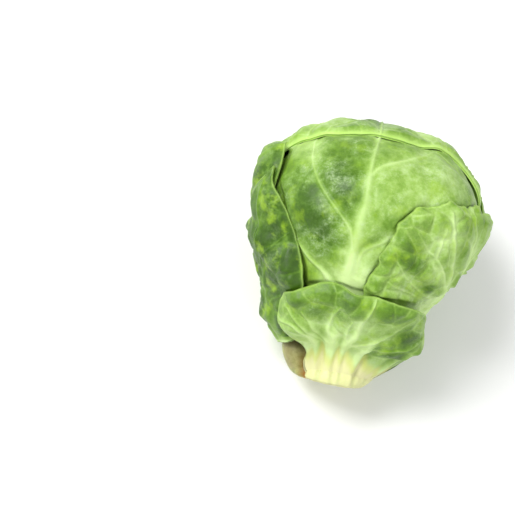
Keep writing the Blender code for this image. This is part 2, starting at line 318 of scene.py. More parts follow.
# Wash((10, 24), 10, -0.3), on the side towards the left leaf, is painted shadow: the shade that the left
# leaf's margin casts on this leaf
REAR_WASHES = (Wash((10, 24), 10, -0.3), Wash((30, 20), 8, 0.1))
LEFT_WASHES = (
    Wash((-22, 8), 9, -0.2), Wash((-28, -8), 6, 0.35), Wash((22, -2), 10, 0.3),
    Wash((-38, 6), 7, 0.2), Wash((0, 10), 9, -0.2),
)
FRILLED_WASHES = (
    Wash((3, -33), 8, -0.35), Wash((-4, -30), 5, -0.3), Wash((-15, -12), 5, -0.6), Wash((6, 16), 12, 0.3),
    # Wash((-28, 14), 14, 0.7), low on the blade, is partly the leaf's paler base and partly a painted
    # highlight that lightens it where it lies in shade
    Wash((-28, 14), 14, 0.7), Wash((-4, -16), 7, 0.3), Wash((16, -22), 9, 0.25), Wash((-18, -30), 6, 0.15),
)
COLLAR_WASHES = (
    Wash((14, -4), 9, -0.35), Wash((5, -20), 7, -0.25), Wash((-8, 26), 6, -0.6), Wash((2, 16), 7, 0.15),
    Wash((-17, 17), 5, -0.6), Wash((-4, 1), 10, 0.4), Wash((14, 18), 7, -0.2), Wash((-16, -14), 7, 0.2),
)

# From the innermost leaf to the outermost: the order is the order in which they overlap
LEAVES = (
    Leaf('inner_leaf', 12, 10, (40, 50, 60, 48, 44, 48, 50, 46), 'inner_leaves', tone=0.65,
         foot=16, cells=90),
    Leaf('front_leaf', 5, -90, (76, 82, 76, 55, 46, 50, 60, 74), 'pale_leaves', tone=0.47,
         foot=22, billow=0.45, blister=0.06, cell=17, net=0.04, cells=200, veins=FRONT_VEINS,
         washes=FRONT_WASHES),
    Leaf('crown_leaf', 30, 90,
         (89, 91, 90, 97, 86, 66, 64, 70, 80, 70, 64, 66, 79, 81, 77.5, 84.5), 'pale_leaves', tone=0.48,
         lift=0.05, billow=0.4, blister=0.1, lip=0.25, lip_width=2.6, raised=-0.1, pairs=7, net=0.1,
         cells=200, washes=CROWN_WASHES),
    Leaf('right_rear_leaf', 8, 55, (42, 46, 44, 48, 62, 50, 50, 48), 'outer_leaves', tone=0.42,
         lift=0.2, flare=0.3, flare_towards=-55, foot=14),
    Leaf('left_rear_leaf', -6, 176,
         (32, 37, 47, 43, 32, 32, 36, 44, 54, 50, 44, 42, 40, 38, 34, 31), 'dark_leaves', tone=0.22,
         corner=(38, 4, 9), lift=0.1, flare=0.7, flare_towards=15, foot=10, billow=0.15, blister=0.12,
         net=0.05, cells=170, washes=REAR_WASHES),
    Leaf('left_low_leaf', -44, 168, (24, 34, 48, 40, 28, 30, 30, 28), 'outer_leaves', tone=0.34,
         flare=0.8, flare_towards=130, foot=6, blister=0.25, cream=0.1),
    Leaf('back_leaf', -8, 112, (36, 42, 42, 44, 52, 46, 46, 44), 'outer_leaves', foot=16, blister=0.3),
    Leaf('left_leaf', -18, -152,
         (28, 31, 28, 26.5, 27, 31, 36, 42, 51, 44, 37, 32, 28, 25, 22, 22), 'dark_leaves', tone=0.14,
         corner=(10, 9, 6), lift=0.1, flare=0.2, flare_towards=-90, foot=4, billow=0.3, blister=0.42,
         blister_from=5, cell=14, net=0.08, cells=190, veins=LEFT_VEINS, washes=LEFT_WASHES),
    Leaf('frilled_leaf', -10, -28,
         (30, 31, 31, 26, 21, 22, 29, 41, 56, 55, 52, 50, 46.5, 47, 40.5, 33), 'outer_leaves', tone=0.5,
         lift=0.15, flare=0.4, flare_towards=70, wave=0.4, waves=5, foot=14, billow=0.6,
         blister=0.4, cell=12, net=0.08, cells=200, veins=FRILLED_VEINS, washes=FRILLED_WASHES),
    Leaf('back_low_leaf', -38, 75, (32, 38, 42, 40, 34, 38, 42, 36), 'outer_leaves', foot=17, blister=0.3),
    Leaf('collar_leaf', -58, -85,
         (23, 25, 28.5, 34, 38, 38, 35, 32, 31, 24, 26, 30, 32, 30, 28, 26), 'outer_leaves', tone=0.44,
         lift=0.15, flare=2.0, flare_towards=100, billow=0.35, blister=0.3, cell=11,
         net=0.1, cells=190, veins=COLLAR_VEINS, washes=COLLAR_WASHES),
)


def smooth(x):
    """Ramp from 0 to 1 with level ends: 3x^2 - 2x^3."""
    x = np.clip(x, 0, 1)
    return x * x * (3 - 2 * x)


def ramp(x, start, end):
    """Smooth ramp from 0 where x is start to 1 where it is end."""
    return smooth((x - start) / (end - start))


def bell(x):
    """Bell that is 1 at 0: e to the power of minus x squared."""
    return np.exp(-x * x)


def smooth_through(x, places, values):
    """Smooth curve through the values at the places, level at both ends."""
    places = np.asarray(places, float)
    values = np.asarray(values, float)
    slope = np.gradient(values, places)
    slope[[0, -1]] = 0
    i = np.clip(np.searchsorted(places, x) - 1, 0, len(places) - 2)
    width = places[i + 1] - places[i]
    t = np.clip((x - places[i]) / width, 0, 1)
    rise = smooth(t) * (values[i + 1] - values[i])
    return values[i] + rise + width * t * (1 - t) * ((1 - t) * slope[i] - t * slope[i + 1])


def stretch_between(before, here, after, beyond, t):
    """Smooth curve from here to after as t goes from 0 to 1: the Catmull-Rom curve of four values."""
    bend = 2 * before - 5 * here + 4 * after - beyond
    twist = 3 * (here - after) + beyond - before
    return here + 0.5 * t * (after - before + t * (bend + t * twist))


def round_the_compass(angle, values):
    """Smooth closed curve through values that stand at even angles round the compass."""
    values = np.asarray(values, float)
    count = len(values)
    t = (angle % 360) * count / 360
    i = np.floor(t).astype(int) % count
    return stretch_between(*(values[(i + k) % count] for k in (-1, 0, 1, 2)), t - np.floor(t))


def curve_through(places, samples):
    """Points along a smooth line through the places, evenly split per stretch between two of them."""
    places = np.asarray(places, float)
    ends = np.vstack([2 * places[0] - places[1], places, 2 * places[-1] - places[-2]])
    t = np.linspace(0, len(places) - 1, samples)
    i = np.clip(t.astype(int), 0, len(places) - 2)
    return stretch_between(*(ends[i + k] for k in range(4)), (t - i)[:, None])


def ripple(x, y, size, seed):
    """Soft uneven surface between about -1 and 1: a quarter of the sum of seven seeded sine waves."""
    draw = np.random.default_rng(seed)
    total = 0
    for _ in range(7):
        turn = draw.uniform(0, 2 * np.pi)
        phase = draw.uniform(0, 2 * np.pi)
        stretch = draw.uniform(0.7, 1.6)
        total = total + np.sin((x * np.cos(turn) + y * np.sin(turn)) * 2 * np.pi / (size * stretch) + phase)
    return total / 4


def blister_cells(x, y, size, seed):
    """How far a place is inside its cell: distance to the second nearest seed less that to the nearest.

    The seeds stand on a square grid, each one moved by a seeded draw, and the place is first moved
    by two ripples, so that the cells bend.
    """
    draw = np.random.default_rng(seed)
    shift = draw.uniform(-0.38, 0.38, (64, 64, 2))
    warp = 0.35 * size
    u = (x + warp * ripple(x, y, 4 * size, seed + 1)) / size
    v = (y + warp * ripple(x, y, 4 * size, seed + 2)) / size
    column, row = np.floor(u).astype(int), np.floor(v).astype(int)
    nearest = np.full(x.shape, 9.0)
    second = np.full(x.shape, 9.0)
    for i in (-1, 0, 1):
        for j in (-1, 0, 1):
            moved = shift[(column + i) % 64, (row + j) % 64]
            away = np.hypot(u - column - i - 0.5 - moved[..., 0], v - row - j - 0.5 - moved[..., 1])
            second = np.minimum(second, np.maximum(nearest, away))
            nearest = np.minimum(nearest, away)
    return second - nearest


def direction(latitude, longitude):
    """Unit vector from the head's centre."""
    lat = np.radians(latitude)
    lon = np.radians(longitude)
    return np.stack([np.cos(lat) * np.cos(lon), np.cos(lat) * np.sin(lon), np.sin(lat) + 0 * lon], -1)


def head_profile(latitude):
    """Radius and height of the head's outline: R cos(lat), C + R sin(lat), easing into the foot's line."""
    lat = np.radians(latitude)
    radius = smooth_through(latitude, HEAD_LATITUDES, HEAD_RADII)
    foot = ramp(latitude, *FOOT_BLEND)
    out = radius * np.cos(lat) * (1 - foot) + smooth_through(latitude, FOOT_LATITUDES, FOOT_RADII) * foot
    up = HEAD_CENTRE + radius * np.sin(lat)
    return out, up * (1 - foot) + smooth_through(latitude, FOOT_LATITUDES, FOOT_HEIGHTS) * foot


def place_of(way):
    """Latitude in degrees and longitude in radians of directions."""
    return np.degrees(np.arcsin(np.clip(way[..., 2], -1, 1))), np.arctan2(way[..., 1], way[..., 0])


def turn_from(start, angle):
    """Turn from a start to an angle the short way round, between -180 and 180."""
    return (angle - start + 180) % 360 - 180


def foot_ribs(latitude, lon):
    """Height of the ribs by the stem: the sum of waves round the axis, lower again at the cut."""
    waves = sum(height * np.sin(count * lon + phase) for count, height, phase in RIB_WAVES)
    return waves * ramp(latitude, *RIB_START) * (1 - RIB_FADE * ramp(latitude, *RIB_END))


def haunch(latitude, lon):
    """How far the leaves stand out sideways by the stem: its own profile, by a bell round two turns."""
    turn = np.degrees(lon)
    sides = sum(share * bell(turn_from(middle, turn) / HAUNCH_WIDTH) for middle, share in HAUNCH_TURNS)
    return sides * smooth_through(latitude, HAUNCH_LATITUDES, HAUNCH_OUT)


def head_surface(way):
    """Point of the head and its outward normal in each direction.

    The point is (out cos lon, out sin lon, up), out being the profile's and the haunch's sum. The
    normal is square to the profile's slope between half a degree below and half a degree above.
    """
    latitude, lon = place_of(way)
    out, up = head_profile(latitude)
    out = out + haunch(latitude, lon)
    out_low, up_low = head_profile(latitude - 0.5)
    out_high, up_high = head_profile(latitude + 0.5)
    length = np.hypot(out_high - out_low, up_high - up_low)
    level = (up_high - up_low) / length
    rise = (out_low - out_high) / length
    point = np.stack([out * np.cos(lon), out * np.sin(lon), up], -1)
    return point, np.stack([level * np.cos(lon), level * np.sin(lon), rise], -1)


def lying_turn():
    """Rotation from the upright sprout to the lying one: spun on its axis, then tipped over."""
    return Matrix.Rotation(radians(TIP_UP - 90), 3, 'X') @ Matrix.Rotation(radians(SPIN), 3, 'Z')


def lay_down(points):
    """World points in metres, of points on the upright sprout: turned, set down, none below the floor."""
    laid = (points @ np.array(lying_turn()).T + np.array(CUT_FACE_PLACE)) * MM
    laid[..., 2] = np.maximum(laid[..., 2], 0)
    return laid


def leaf_axes(leaf):
    """Centre of a leaf, and the ways to its tip and to its right, as unit vectors."""
    centre = direction(leaf.latitude, leaf.longitude)
    lon = np.radians(leaf.longitude)
    right = np.array([-np.sin(lon), np.cos(lon), 0])
    return centre, np.cross(centre, right), right


def to_leaf(leaf, way):
    """Distance from the leaf's centre and compass angle from its tip, of directions."""
    centre, tip, right = leaf_axes(leaf)
    distance = np.degrees(np.arccos(np.clip(way @ centre, -1, 1)))
    return distance, np.degrees(np.arctan2(way @ right, way @ tip))


def from_leaf(leaf, distance, angle):
    """Directions at a distance and compass angle from the leaf's centre."""
    centre, tip, right = leaf_axes(leaf)
    away = np.radians(distance)[..., None]
    turn = np.radians(angle)[..., None]
    return np.cos(away) * centre + np.sin(away) * (np.cos(turn) * tip + np.sin(turn) * right)


def outline(leaf, angle):
    """Reach of a leaf at a compass angle: its smooth outline and its one sharp corner."""
    turn, out, width = leaf.corner
    away = np.abs(turn_from(turn, angle))
    return round_the_compass(angle, leaf.reach) + out * np.exp(-away / width)


def relief(leaf, distance, angle):
    """Height of a leaf over what it lies on: its lifted margin, its open side and its crimps."""
    edge = outline(leaf, angle)
    share = np.clip(distance / edge, 0, 1)
    inside = np.clip(edge - distance, 0, None)
    side = smooth(np.cos(np.radians(angle - leaf.flare_towards)))
    height = leaf.lift * smooth(1 - inside / MARGIN_WIDTH)
    height = height + leaf.flare * side * smooth((share - FLARE_START) / (1 - FLARE_START))
    crimp = 0.5 + 0.5 * np.sin(leaf.waves * np.radians(angle))
    return height + leaf.wave * share ** 3 * crimp


def cover(leaf, distance, angle):
    """1 over a leaf, easing to 0 beyond its margin."""
    beyond = distance - outline(leaf, angle)
    return smooth((STEP_END - beyond) / (STEP_END - STEP_START))


def stack_height(leaf, way):
    """Height over the head on which a leaf lies: all the leaves below it."""
    height = np.full(way.shape[:-1], LEAF_GAP)
    for lower in LEAVES[:LEAVES.index(leaf)]:
        distance, angle = to_leaf(lower, way)
        pitch = LEAF_THICKNESS + LEAF_GAP + relief(lower, distance, angle)
        height = height + cover(lower, distance, angle) * pitch
    return height


def pressed(leaf, way):
    """1 where an upper leaf presses on this one, 0 where it is free, with a soft edge at their margins."""
    most = np.zeros(way.shape[:-1])
    for upper in LEAVES[LEAVES.index(leaf) + 1:]:
        distance, angle = to_leaf(upper, way)
        most = np.maximum(most, ramp(distance - outline(upper, angle), *PRESS_EDGE))
    return most


def full_reach(leaf, angle):
    """Reach of the finished leaf: its outline, a longer base and small nicks along the margin.

    The base grows with the fourth power of minus the compass angle's cosine. The nicks are waves
    whose depth falls with their number, deeper where the margin is crimped.
    """
    base = np.clip(-np.cos(np.radians(angle)), 0, 1) ** 4
    seed = LEAVES.index(leaf)
    nicks = sum(np.sin(k * np.radians(angle) + seed * k) / k for k in NICK_WAVES)
    depth = NICK_DEPTH + CRIMPED_NICK_DEPTH * leaf.wave
    return outline(leaf, angle) + leaf.foot * base + depth * nicks


def side_veins(leaf):
    """Midrib and side veins of a leaf that has none given: pairs that leave it in turn and curve out."""
    draw = np.random.default_rng(100 + LEAVES.index(leaf))
    root = -round_the_compass(180.0, leaf.reach) - leaf.foot
    tip = float(round_the_compass(0.0, leaf.reach))
    lowest, highest = root * 0.75, tip * 0.8
    veins = [Vein(((root, 0), (root / 2, 1), (0, -1), (tip / 2, 1), (tip, 0)), (3.2, 0.7), 0.4, 0.9)]
    for k in range(leaf.pairs):
        for side in (-1, 1):
            rank = k + 0.25 * side + draw.uniform(0, 0.3)
            start = lowest + (highest - lowest) * rank / leaf.pairs
            out = float(round_the_compass(side * 70.0, leaf.reach)) * draw.uniform(0.8, 0.95)
            rise = draw.uniform(0.45, 0.7) * out
            places = ((start, 0), (start + 0.25 * rise, side * 0.35 * out),
                      (start + 0.6 * rise, side * 0.7 * out), (start + rise, side * out))
            veins.append(Vein(places, (1.4 - 0.12 * k, 0.45), 0.24, 0.65))
    return tuple(veins)


def vein_fields(leaf, x, y):
    """Ridge height, core, halo and closeness to a vein, at places (x to the tip, y to the right).

    For each vein, d is the distance to its line in its own half widths, which narrow from root to
    end. The ridge is height times the bell of d less a fine groove beside it, and the core is a
    narrower bell of d. The halo is e to the power of minus the distance beyond the vein's side over
    a width that grows with it. Each field is the greatest over the veins, and fades towards the end.
    """
    ridge, core, halo, near = (np.zeros(x.shape) for _ in range(4))
    for vein in leaf.veins or side_veins(leaf):
        line = curve_through(vein.places, VEIN_POINTS)
        start, step = line[:-1], np.diff(line, axis=0)
        length = (step ** 2).sum(1)
        best = np.full(x.shape, 1e9)
        along = np.zeros(x.shape)
        for k in range(len(start)):
            t = np.clip(((x - start[k, 0]) * step[k, 0] + (y - start[k, 1]) * step[k, 1]) / length[k], 0, 1)
            away = np.hypot(x - start[k, 0] - t * step[k, 0], y - start[k, 1] - t * step[k, 1])
            closer = away < best
            best = np.where(closer, away, best)
            along = np.where(closer, (k + t) / len(start), along)
        half = vein.width[0] + (vein.width[1] - vein.width[0]) * along ** VEIN_TAPER
        d = best / half
        fade = 1 - VEIN_FADE * along
        groove = GROOVE_DEPTH * bell((d - GROOVE_PLACE) / GROOVE_WIDTH)
        ridge = np.maximum(ridge, vein.height * fade * (bell(d) - groove))
        core = np.maximum(core, vein.pale * fade * bell(CORE_SHARPNESS * d))
        spread = np.maximum(best - HALO_START * half, 0) / (HALO_GROWTH * half + HALO_WIDTH)
        halo = np.maximum(halo, vein.pale * fade * np.exp(-spread))
        near = np.maximum(near, bell(best / NEAR_WIDTH) * fade)
    return ridge, core, halo, near


def disc_grid(cells):
    """Square grid drawn in to a unit disc: x = u sqrt(1 - v^2 / 2), y = v sqrt(1 - u^2 / 2).

    The rows then crowd towards the margin, by r -> r (1 + c - c r).
    """
    step = np.linspace(-1, 1, cells + 1)
    u, v = np.meshgrid(step, step, indexing='ij')
    x, y = u * np.sqrt(1 - v * v / 2), v * np.sqrt(1 - u * u / 2)
    crowd = 1 + EDGE_CROWDING - EDGE_CROWDING * np.hypot(x, y)
    return x * crowd, y * crowd


def border(cells):
    """Indices of the points round a square grid's edge, in turn."""
    n = cells + 1
    grid = np.arange(n * n).reshape(n, n)
    return np.concatenate([grid[0, :-1], grid[:-1, -1], grid[-1, :0:-1], grid[:0:-1, 0]])


def grid_quads(cells):
    """Faces of a square grid, as rows of four point indices."""
    n = cells + 1
    grid = np.arange(n * n).reshape(n, n)
    return np.stack([grid[:-1, :-1], grid[1:, :-1], grid[1:, 1:], grid[:-1, 1:]], -1).reshape(-1, 4)


def ring_quads(ring, following):
    """Faces between two closed rings of point indices."""
    return np.stack([ring, np.roll(ring, -1), np.roll(following, -1), following], -1)


def leaf_fields(leaf, r, angle):
    """Everything that a leaf's surface has at a share r of its reach and a compass angle, by name.

    The swell is the blisters' pillows, less a level, plus the billow away from veins and a ripple.
    The ridge is the veins' and the rolled lip's, a bell just inside the margin. Sink is 1 on the
    head and eases to 0 down at the foot. Where an upper leaf presses, swell and ridge go to 0.
    """
    edge = full_reach(leaf, angle)
    distance = r * edge
    way = from_leaf(leaf, distance, angle)
    inside = edge - distance
    seed = 10 * LEAVES.index(leaf)
    x, y = distance * np.cos(np.radians(angle)), distance * np.sin(np.radians(angle))
    free = 1 - pressed(leaf, way)
    ridge, core, halo, near = vein_fields(leaf, x, y)
    deep = blister_cells(x, y, leaf.cell, seed)
    pillow = smooth(deep / PILLOW_EDGE)
    latitude, lon = place_of(way)
    sink = ramp(latitude, FOOT_SINK[1], FOOT_SINK[0])
    blade = ramp(inside, 0, BLADE_START) * sink
    wash = CLOUD_PALE * ripple(x, y, CLOUD_SIZE, seed + 6)
    for spot in leaf.washes:
        off_x = x - spot.place[0] + RAGGED_SHARE * spot.size * ripple(x, y, RAGGED_SIZE, seed + 7)
        off_y = y - spot.place[1]
        wash = wash + spot.pale * bell(np.hypot(off_x, off_y) / spot.size)
    last, first = leaf.blister_from + BLISTER_FADE_SPAN, leaf.blister_from - BLISTER_FADE_SPAN
    blister = leaf.blister * (1 - BLISTER_FADE * ramp(x, first, last)) * (pillow - PILLOW_LEVEL)
    spared = MARGIN_BLISTERS * sink + (1 - MARGIN_BLISTERS) * blade
    swell = blister * (1 - VEIN_CALM * near) * spared + leaf.billow * (1 - near) * blade
    swell = swell + UNEVEN_HEIGHT * ripple(x, y, UNEVEN_SIZE, seed + 5) * sink
    lip = leaf.lip * bell((inside - leaf.lip_width * LIP_PLACE) / (leaf.lip_width * LIP_SPREAD)) * sink
    rise = leaf.raised * bell(inside / RAISED_WIDTH) * sink
    fine = ridge * ramp(inside, *RIDGE_START) * sink
    return {
        'way': way, 'distance': distance, 'angle': angle, 'inside': inside,
        'latitude': latitude, 'lon': lon, 'sink': sink, 'own': cover(leaf, distance, angle),
        'swell': np.maximum(swell, DEEPEST_DIP) * free + rise, 'ridge': (fine + lip) * free,
        'ribs': foot_ribs(latitude, lon), 'pillow': pillow, 'wash': wash, 'core': core, 'halo': halo,
        'net': (1 - ramp(deep, *NET_EDGE)) * (1 - 0.8 * near),
    }


def leaf_layer(leaf, fields, depth):
    """Points of a leaf's layer, at a depth of 0 for its inner side to 1 for its outer side.

    Each is the head's point plus its normal times the sum of what the leaf lies on, its own relief,
    swell and ribs, and depth times its thickness and ridges. The leaf is thin at its margin, at its
    foot, and where it runs on under the others.
    """
    point, normal = head_surface(fields['way'])
    own, sink = fields['own'], fields['sink']
    thick = ramp(fields['inside'], 0, THICKENING_WIDTH)
    thick = MARGIN_THICKNESS + (LEAF_THICKNESS - MARGIN_THICKNESS) * thick
    height = stack_height(leaf, fields['way']) + own * relief(leaf, fields['distance'], fields['angle'])
    height = height * (FOOT_SHARE + (1 - FOOT_SHARE) * sink) + fields['swell'] * own + fields['ribs']
    thick = thick * (FOOT_THINNESS + (1 - FOOT_THINNESS) * sink) + fields['ridge']
    height = height + depth * thick * (STEP_THINNESS + (1 - STEP_THINNESS) * own)
    return lay_down(point + normal * height[..., None])


def add_mesh(name, points, quads, attributes):
    """Smooth-shaded object of four-sided faces, with a value at each point for each named attribute."""
    mesh = bpy.data.meshes.new(name)
    mesh.vertices.add(len(points))
    mesh.vertices.foreach_set('co', points.astype(np.float32).ravel())
    mesh.loops.add(quads.size)
    mesh.loops.foreach_set('vertex_index', quads.astype(np.int32).ravel())
    mesh.polygons.add(len(quads))
    mesh.polygons.foreach_set('loop_start', np.arange(0, quads.size, 4, dtype=np.int32))
    mesh.update(calc_edges=True)
    mesh.shade_smooth()
    for attribute, values in attributes.items():
        layer = mesh.attributes.new(attribute, 'FLOAT', 'POINT')
        layer.data.foreach_set('value', values.astype(np.float32).ravel())
    piece = bpy.data.objects.new(name, mesh)
    bpy.context.scene.collection.objects.link(piece)
    return piece


def make_leaf(leaf):
    """Fine leaf: an outer and an inner layer over the same round grid, joined by a rounded margin."""
    cells = leaf.cells
    x, y = disc_grid(cells)
    fields = leaf_fields(leaf, np.hypot(x, y).ravel(), np.degrees(np.arctan2(y, x)).ravel())
    edge = border(cells)
    rim_angle = fields['angle'][edge]
    rim = leaf_fields(leaf, 1 + MARGIN_ROUNDING / full_reach(leaf, rim_angle), rim_angle)
    points = np.concatenate([
        leaf_layer(leaf, fields, 1.0), leaf_layer(leaf, fields, 0.0), leaf_layer(leaf, rim, 0.5)])
    count = len(x.ravel())
    outer, inner, middle = edge, edge + count, np.arange(len(edge)) + 2 * count
    faces = grid_quads(cells)
    quads = np.concatenate([
        faces[:, ::-1], faces + count, ring_quads(outer, middle), ring_quads(middle, inner)])
    attributes = {name: np.concatenate([values, values, values[edge]])
                  for name, values in leaf_colours(leaf, fields).items()}
    return add_mesh(leaf.name + '_blade', points, quads, attributes)


def leaf_colours(leaf, fields):
    """Values at a leaf's points that its finish reads: tone, plain, lip and cream.

    Tone is the leaf's own plus a share of each field, less one of the blisters. Plain is 1 where
    nothing mottles the blade, on veins and at the foot. Lip is a bell at the margin. Cream sets in
    down the foot, later on the haunches and on the ribs.
    """
    latitude = fields['latitude'] + HAUNCH_RISE * haunch(fields['latitude'], fields['lon'])
    latitude = latitude + RIB_RISE * fields['ribs']
    foot = ramp(latitude, *PALE_FOOT)
    tone = leaf.tone + WASH_TONE * fields['wash'] + HALO_TONE * fields['halo'] + CORE_TONE * fields['core']
    tone = tone + leaf.net * fields['net'] - leaf.blister * BLISTER_TONE * (fields['pillow'] - 0.6)
    lip = bell(np.maximum(fields['inside'], 0) / leaf.lip_width)
    return {
        'tone': np.clip(tone + FOOT_TONE * foot + RIB_TONE * fields['ribs'], 0, 1),
        'plain': np.clip(fields['core'] + 0.4 * fields['halo'] + foot, 0, 1),
        'lip': (1 + 3 * leaf.lip) * lip * fields['sink'],
        'cream': leaf.cream * ramp(latitude, *CREAM_FOOT),
    }


class Finish:
    """A procedural finish: a Principled shader and the nodes that feed it."""

    def __init__(self, name, roughness, subsurface):
        self.material = bpy.data.materials.new(name)
        self.material.use_nodes = True
        self.nodes = self.material.node_tree.nodes
        self.links = self.material.node_tree.links
        self.shader = self.nodes['Principled BSDF']
        looks = {'Roughness': roughness, 'Specular IOR Level': 0.32, 'Subsurface Weight': subsurface,
                 'Subsurface Radius': (0.6, 1.0, 0.25), 'Subsurface Scale': 0.0012}
        for socket, value in looks.items():
            self.shader.inputs[socket].default_value = value
        self.place = self.nodes.new('ShaderNodeTexCoord').outputs['Object']

    def attribute(self, name):
        """Value that the mesh holds at each point."""
        node = self.nodes.new('ShaderNodeAttribute')
        node.attribute_name = name
        return node.outputs['Fac']

    def noise(self, size, detail=4.0, roughness=0.55):
        """Soft noise whose features are about the given size in millimetres."""
        node = self.nodes.new('ShaderNodeTexNoise')
        node.inputs['Scale'].default_value = 1 / (size * MM)
        node.inputs['Detail'].default_value = detail
        node.inputs['Roughness'].default_value = roughness
        self.links.new(self.place, node.inputs['Vector'])
        return node.outputs['Fac']

    def span(self, value, start, end, low=0.0, high=1.0):
        """Value carried from the span start to end to the span low to high, with level ends."""
        node = self.nodes.new('ShaderNodeMapRange')
        node.interpolation_type = 'SMOOTHSTEP'
        self.links.new(value, node.inputs['Value'])
        ends = {'From Min': start, 'From Max': end, 'To Min': low, 'To Max': high}
        for socket, number in ends.items():
            node.inputs[socket].default_value = number
        return node.outputs['Result']

    def math(self, operation, first, second):
        """Two values joined by a sum, a product or the like."""
        node = self.nodes.new('ShaderNodeMath')
        node.operation = operation
        for socket, value in zip(node.inputs, (first, second)):
            if isinstance(value, (int, float)):
                socket.default_value = value
            else:
                self.links.new(value, socket)
        return node.outputs['Value']

    def mix(self, share, below, above):
        """Colour that goes from below to above as the share goes from 0 to 1."""
        node = self.nodes.new('ShaderNodeMix')
        node.data_type = 'RGBA'
        self.links.new(share, node.inputs['Factor'])
        for socket, colour in (('A', below), ('B', above)):
            target = [s for s in node.inputs if s.name == socket and s.type == 'RGBA'][0]
            if isinstance(colour, tuple):
                target.default_value = (*colour, 1)
            else:
                self.links.new(colour, target)
        return [s for s in node.outputs if s.type == 'RGBA'][0]

    def ramp(self, value, stops):
        """Colour that runs through the stops, each one a place from 0 to 1 and its colour."""
        node = self.nodes.new('ShaderNodeValToRGB')
        marks = node.color_ramp.elements
        while len(marks) < len(stops):
            marks.new(0.5)
        for mark, (place, colour) in zip(marks, stops):
            mark.position = place
            mark.color = (*colour, 1)
        self.links.new(value, node.inputs['Fac'])
        return node.outputs['Color']

    def bump(self, height, distance, strength):
        """Fine relief on the shader's normal, its height in millimetres."""
        node = self.nodes.new('ShaderNodeBump')
        node.inputs['Distance'].default_value = distance * MM
        node.inputs['Strength'].default_value = strength
        self.links.new(height, node.inputs['Height'])
        self.links.new(node.outputs['Normal'], self.shader.inputs['Normal'])

    def feed(self, socket, value):
        """Link a value or a colour to one of the shader's sockets."""
        self.links.new(value, self.shader.inputs[socket])


def leaf_finish(name, lime, bloom):
    """Waxy leaf: its tone broken up by clouds and grain, lime patches, and a thin whitish bloom.

    Tone goes through the colours from deep green to rib green. Lime and bloom are how much of each
    shows in its patches. The foot is cream on its ribs and duller between them, by way of yellow
    where the green ends, and the margin has a pale line.
    """
    finish = Finish(name, 0.4, 0.06)
    cloud = finish.noise(5.0, detail=8.0, roughness=0.62)
    grain = finish.noise(1.3, detail=8.0, roughness=0.72)
    speck = finish.noise(0.35, roughness=0.7)
    plain = finish.attribute('plain')
    clouded = finish.span(cloud, 0.3, 0.7, -0.06, 0.06)
    broken = finish.math('ADD', clouded, finish.span(grain, 0.3, 0.7, -0.09, 0.09))
    broken = finish.math('MULTIPLY', broken, finish.span(plain, 0.0, 1.0, 1.0, 0.3))
    green = finish.ramp(finish.math('ADD', finish.attribute('tone'), broken), TONES)
    patch = finish.noise(3.2, detail=6.0, roughness=0.6)
    green = finish.mix(finish.span(patch, 0.52, 0.68, 0.0, lime), green, LIME)
    waxy = finish.math('MULTIPLY', finish.span(cloud, 0.42, 0.66), finish.span(grain, 0.36, 0.66))
    waxy = finish.math('MULTIPLY', waxy, finish.span(speck, 0.42, 0.6, 0.25, 1.0))
    green = finish.mix(finish.math('MULTIPLY', waxy, bloom), green, BLOOM)
    flesh = finish.mix(finish.span(finish.attribute('tone'), 0.35, 0.8), VALLEY_CREAM, CREAM)
    cream = finish.attribute('cream')
    green = finish.mix(cream, green, flesh)
    between = finish.math('MULTIPLY', cream, finish.math('SUBTRACT', 1.0, cream))
    green = finish.mix(finish.math('MULTIPLY', between, 2.0), green, YELLOW)
    green = finish.mix(finish.math('MULTIPLY', finish.attribute('lip'), 0.45), green, LIP_GREEN)
    finish.feed('Base Color', green)
    finish.feed('Roughness', finish.span(grain, 0.35, 0.65, 0.32, 0.52))
    finish.bump(finish.math('ADD', grain, finish.math('MULTIPLY', speck, 0.3)), 0.2, 0.5)
    return finish.material


def stem_finish():
    """Cut stem: cream ribs and duller valleys, greener up its side, a grainy olive scar with a rosy
    side, brown in the cleft beside it and on the cut's rim, and a ring of wood in the cut.
    """
    finish = Finish('stem flesh', 0.45, 0.08)
    patch = finish.noise(3.5)
    grain = finish.noise(0.6, detail=5.0, roughness=0.7)
    colour = finish.mix(finish.attribute('rib'), VALLEY_CREAM, CREAM)
    colour = finish.mix(finish.span(patch, 0.4, 0.65, 0, 0.6), colour, STEM_CLOUD)
    colour = finish.mix(finish.span(grain, 0.5, 0.8, 0, 0.4), colour, STEM_GRAIN)
    olive = finish.mix(finish.span(grain, 0.3, 0.65), SCAR_OLIVE, SCAR_PALE)
    for where, shade in (('green', PALE_GREEN), ('olive', olive), ('rose', SCAR_ROSE),
                         ('brown', CLEFT_BROWN), ('wood', WOOD_RING)):
        colour = finish.mix(finish.attribute(where), colour, shade)
    finish.feed('Base Color', colour)
    finish.bump(grain, 0.15, 0.4)
    return finish.material


def heart_finish():
    """Tight inner leaves: pale yellow-green, a little clouded."""
    finish = Finish('heart leaves', 0.45, 0.1)
    cloud = finish.noise(3.0, detail=5.0)
    finish.feed('Base Color', finish.mix(finish.span(cloud, 0.35, 0.65), PALE_GREEN, HEART_YELLOW))
    finish.bump(finish.noise(0.8, detail=5.0), 0.15, 0.4)
    return finish.material


def paper_finish():
    """White matt paper, for the floor."""
    finish = Finish('white paper', 0.9, 0.0)
    finish.shader.inputs['Base Color'].default_value = (*PAPER_WHITE, 1)
    return finish.material


